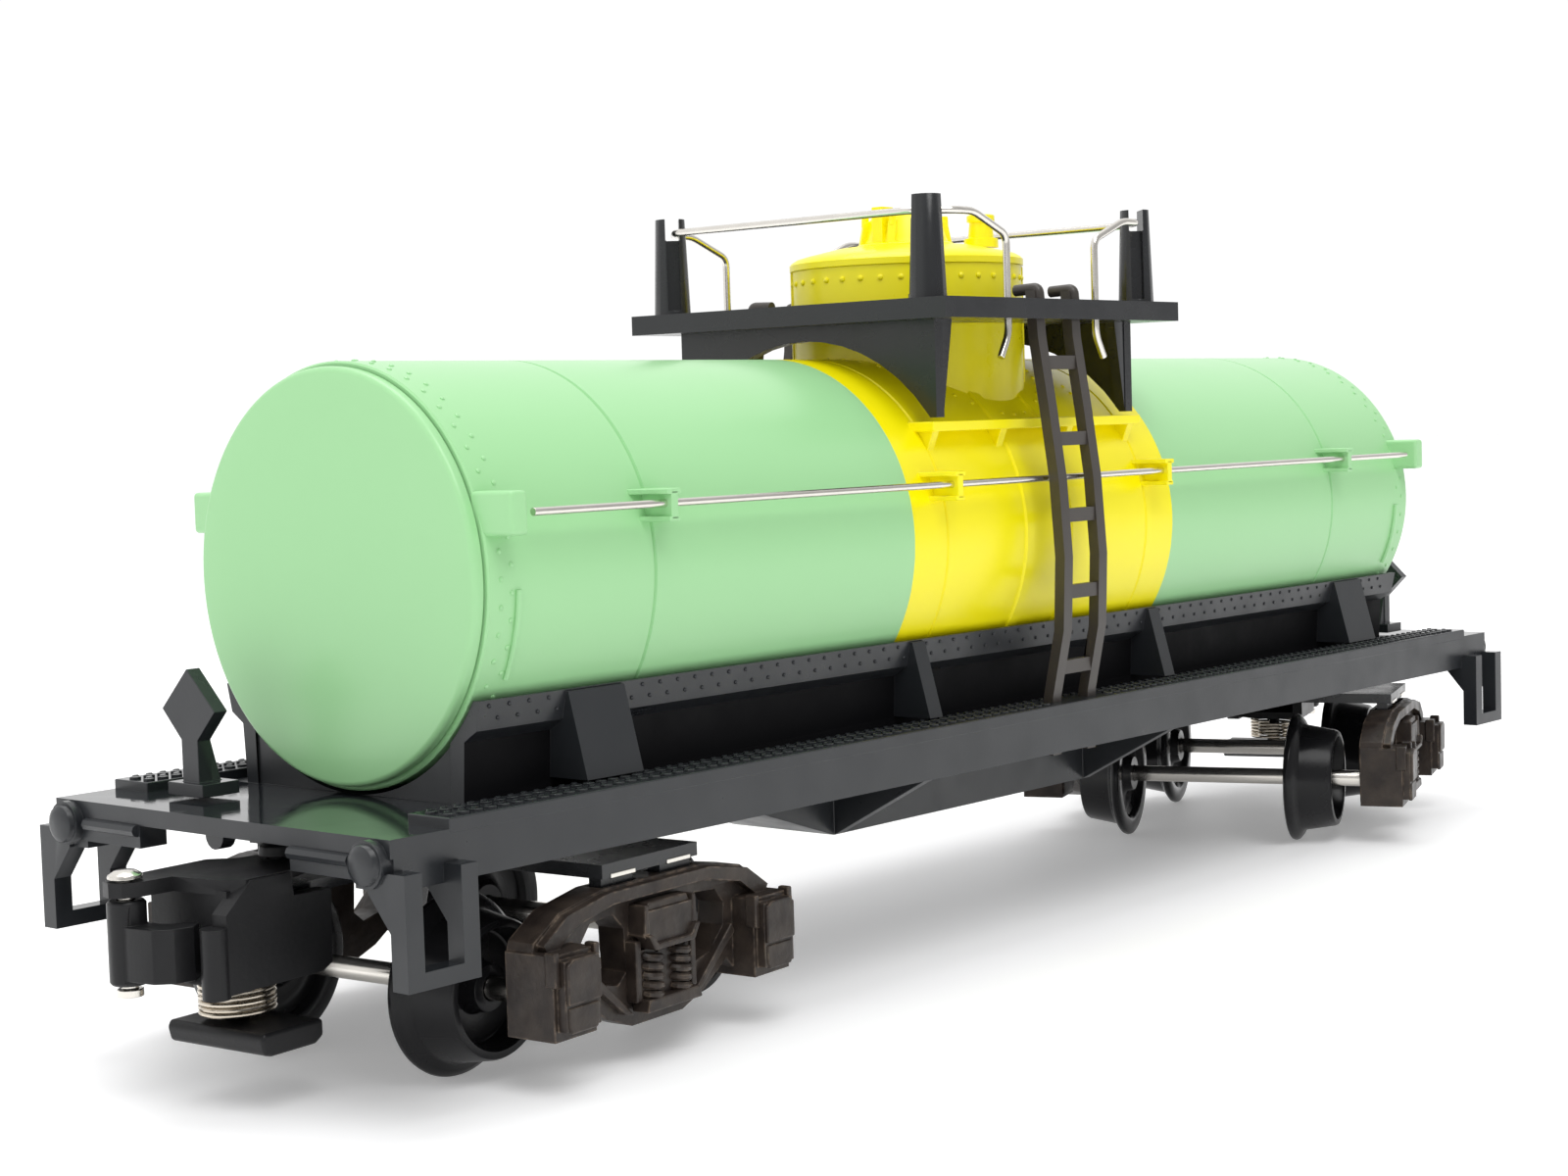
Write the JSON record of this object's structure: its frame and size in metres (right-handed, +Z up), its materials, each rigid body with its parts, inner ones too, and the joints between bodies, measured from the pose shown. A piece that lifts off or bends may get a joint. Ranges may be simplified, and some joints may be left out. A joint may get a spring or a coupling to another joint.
{
  "type": "model tank wagon",
  "caption": "Model railway tank wagon: riveted tank with a dome and railed platform, on a deck with swivelling trucks and knuckle couplers.",
  "frame": {"origin": "on the floor under the middle of the wagon, with the wheels standing on their flanges", "axes": "+X along the wagon towards its rear end, +Y to its left side, +Z up"},
  "size_m": [0.1927, 0.0526, 0.0706],
  "materials": {
    "tank_green": "satin pastel green moulding",
    "dome_yellow": "satin bright yellow moulding",
    "frame_black": "semi-gloss black moulding",
    "ladder_black": "semi-gloss black moulding, fine and slightly brown",
    "truck_brown": "matt brown-black casting with paler edges",
    "wheel_black": "matt black moulding with a polished tread",
    "bright_steel": "bright drawn steel wire",
    "dark_steel": "darkened spring steel"
  },
  "bodies": {
    "wagon_body": {"tank_shell": "tank_green", "tank_end_front": "tank_green", "tank_end_rear": "tank_green", "tank_rail_left": "bright_steel", "tank_rail_right": "bright_steel", "dome": "dome_yellow", "manway_cover": "dome_yellow", "safety_valve": "dome_yellow", "platform": "frame_black", "handrail_front": "bright_steel", "handrail_rear": "bright_steel", "ladder_left": "ladder_black", "ladder_right": "ladder_black", "underframe": "frame_black", "centre_sill": "frame_black", "running_board_left": "frame_black", "running_board_right": "frame_black", "placard_post_front": "frame_black", "placard_post_rear": "frame_black", "kingpin_front": "dark_steel", "kingpin_rear": "dark_steel"},
    "front_truck": {"truck_plate_front": "frame_black", "side_frame_front_left": "truck_brown", "side_frame_front_right": "truck_brown", "coupler_body_front": "frame_black", "coupler_rivet_front": "frame_black", "knuckle_pin_front": "bright_steel", "coupler_spring_front": "dark_steel"},
    "front_outer_wheelset": {"axle_front_outer": "bright_steel", "wheel_front_outer_left": "wheel_black", "wheel_front_outer_right": "wheel_black"},
    "front_inner_wheelset": {"axle_front_inner": "bright_steel", "wheel_front_inner_left": "wheel_black", "wheel_front_inner_right": "wheel_black"},
    "front_knuckle": {"knuckle_front": "frame_black"},
    "front_plunger": {"plunger_front": "frame_black"},
    "rear_truck": {"truck_plate_rear": "frame_black", "side_frame_rear_left": "truck_brown", "side_frame_rear_right": "truck_brown", "coupler_body_rear": "frame_black", "coupler_rivet_rear": "frame_black", "knuckle_pin_rear": "bright_steel", "coupler_spring_rear": "dark_steel"},
    "rear_outer_wheelset": {"axle_rear_outer": "bright_steel", "wheel_rear_outer_left": "wheel_black", "wheel_rear_outer_right": "wheel_black"},
    "rear_inner_wheelset": {"axle_rear_inner": "bright_steel", "wheel_rear_inner_left": "wheel_black", "wheel_rear_inner_right": "wheel_black"},
    "rear_knuckle": {"knuckle_rear": "frame_black"},
    "rear_plunger": {"plunger_rear": "frame_black"}
  },
  "joints": [
    {"name": "front_truck_swivel", "type": "hinge", "parent": "wagon_body", "child": "front_truck", "pos_m": [-0.062, 0, 0.016], "axis": [0, 0, 1], "range_deg": [-25, 15]},
    {"name": "front_outer_wheel_spin", "type": "hinge", "parent": "front_truck", "child": "front_outer_wheelset", "pos_m": [-0.07435, -0.00108, 0.0072], "axis": [-0.0872, 0.9962, 0], "continuous": true},
    {"name": "front_inner_wheel_spin", "type": "hinge", "parent": "front_truck", "child": "front_inner_wheelset", "pos_m": [-0.04965, 0.00108, 0.0072], "axis": [-0.0872, 0.9962, 0], "continuous": true},
    {"name": "front_knuckle_hinge", "type": "hinge", "parent": "front_truck", "child": "front_knuckle", "pos_m": [-0.09525, 0.0003, 0.013], "axis": [0, 0, -1], "range_deg": [0, 60]},
    {"name": "front_plunger_lift", "type": "slide", "parent": "front_truck", "child": "front_plunger", "axis": [0, 0, 1], "range_m": [0, 0.0013], "stiffness_N_per_m": 60, "deforming": ["coupler_spring_front"]},
    {"name": "rear_truck_swivel", "type": "hinge", "parent": "wagon_body", "child": "rear_truck", "pos_m": [0.062, 0, 0.016], "axis": [0, 0, 1], "range_deg": [-39, 1]},
    {"name": "rear_outer_wheel_spin", "type": "hinge", "parent": "rear_truck", "child": "rear_outer_wheelset", "pos_m": [0.07372, 0.00404, 0.0072], "axis": [0.3256, -0.9455, 0], "continuous": true},
    {"name": "rear_inner_wheel_spin", "type": "hinge", "parent": "rear_truck", "child": "rear_inner_wheelset", "pos_m": [0.05028, -0.00404, 0.0072], "axis": [0.3256, -0.9455, 0], "continuous": true},
    {"name": "rear_knuckle_hinge", "type": "hinge", "parent": "rear_truck", "child": "rear_knuckle", "pos_m": [0.09434, 0.00775, 0.013], "axis": [0, 0, -1], "range_deg": [0, 60]},
    {"name": "rear_plunger_lift", "type": "slide", "parent": "rear_truck", "child": "rear_plunger", "axis": [0, 0, 1], "range_m": [0, 0.0013], "stiffness_N_per_m": 60, "deforming": ["coupler_spring_rear"]}
  ]
}
